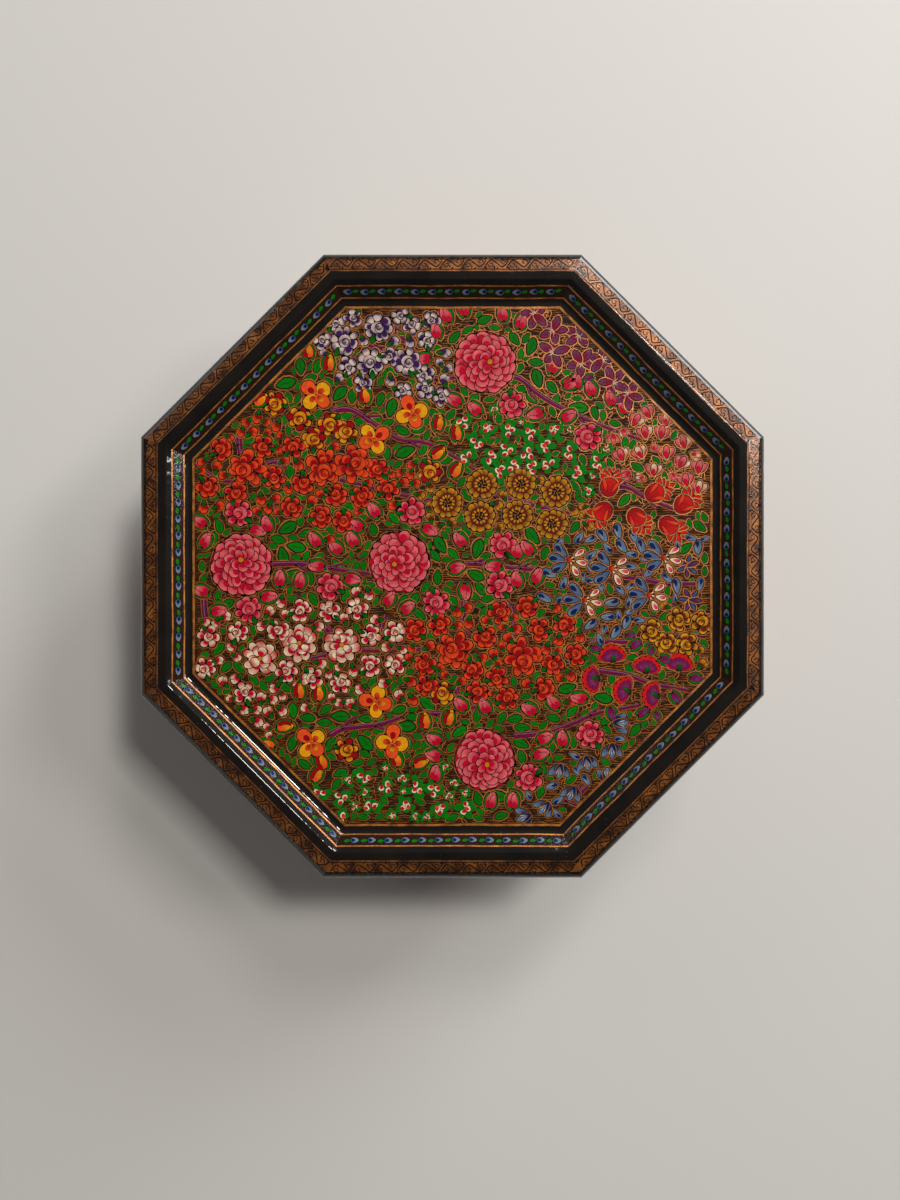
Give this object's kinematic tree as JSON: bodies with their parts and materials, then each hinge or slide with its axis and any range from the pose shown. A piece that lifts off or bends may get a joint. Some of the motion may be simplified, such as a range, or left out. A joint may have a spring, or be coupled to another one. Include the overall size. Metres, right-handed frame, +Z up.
{
  "type": "octagonal papier mache box with lift-off lid",
  "caption": "Low octagonal papier mache storage box with a lift-off lid, lacquered black, its recessed top painted all over with small flowers.",
  "frame": {"origin": "centre of the underside, on the surface the box stands on", "axes": "+Z up through the lid, -Y to the front, +X to the right"},
  "size_m": [0.25, 0.25, 0.075],
  "materials": {
    "painted_panel": "gloss",
    "rim_lacquer": "gloss",
    "painted_side": "gloss",
    "black_lacquer": "gloss"
  },
  "bodies": {
    "box": {"bottom_board": "black_lacquer", "wall_right": "painted_side", "wall_back_right": "painted_side", "wall_back": "painted_side", "wall_back_left": "painted_side", "wall_left": "painted_side", "wall_front_left": "painted_side", "wall_front": "painted_side", "wall_front_right": "painted_side", "collar_right": "black_lacquer", "collar_back_right": "black_lacquer", "collar_back": "black_lacquer", "collar_back_left": "black_lacquer", "collar_left": "black_lacquer", "collar_front_left": "black_lacquer", "collar_front": "black_lacquer", "collar_front_right": "black_lacquer"},
    "lid": {"lid_board": "painted_panel", "skirt_right": "painted_side", "skirt_back_right": "painted_side", "skirt_back": "painted_side", "skirt_back_left": "painted_side", "skirt_left": "painted_side", "skirt_front_left": "painted_side", "skirt_front": "painted_side", "skirt_front_right": "painted_side", "rim_right": "rim_lacquer", "rim_back_right": "rim_lacquer", "rim_back": "rim_lacquer", "rim_back_left": "rim_lacquer", "rim_left": "rim_lacquer", "rim_front_left": "rim_lacquer", "rim_front": "rim_lacquer", "rim_front_right": "rim_lacquer"}
  },
  "joints": [
    {"name": "lid_lift", "type": "slide", "parent": "box", "child": "lid", "axis": [0, 0, 1], "range_m": [0, 0.12]}
  ]
}
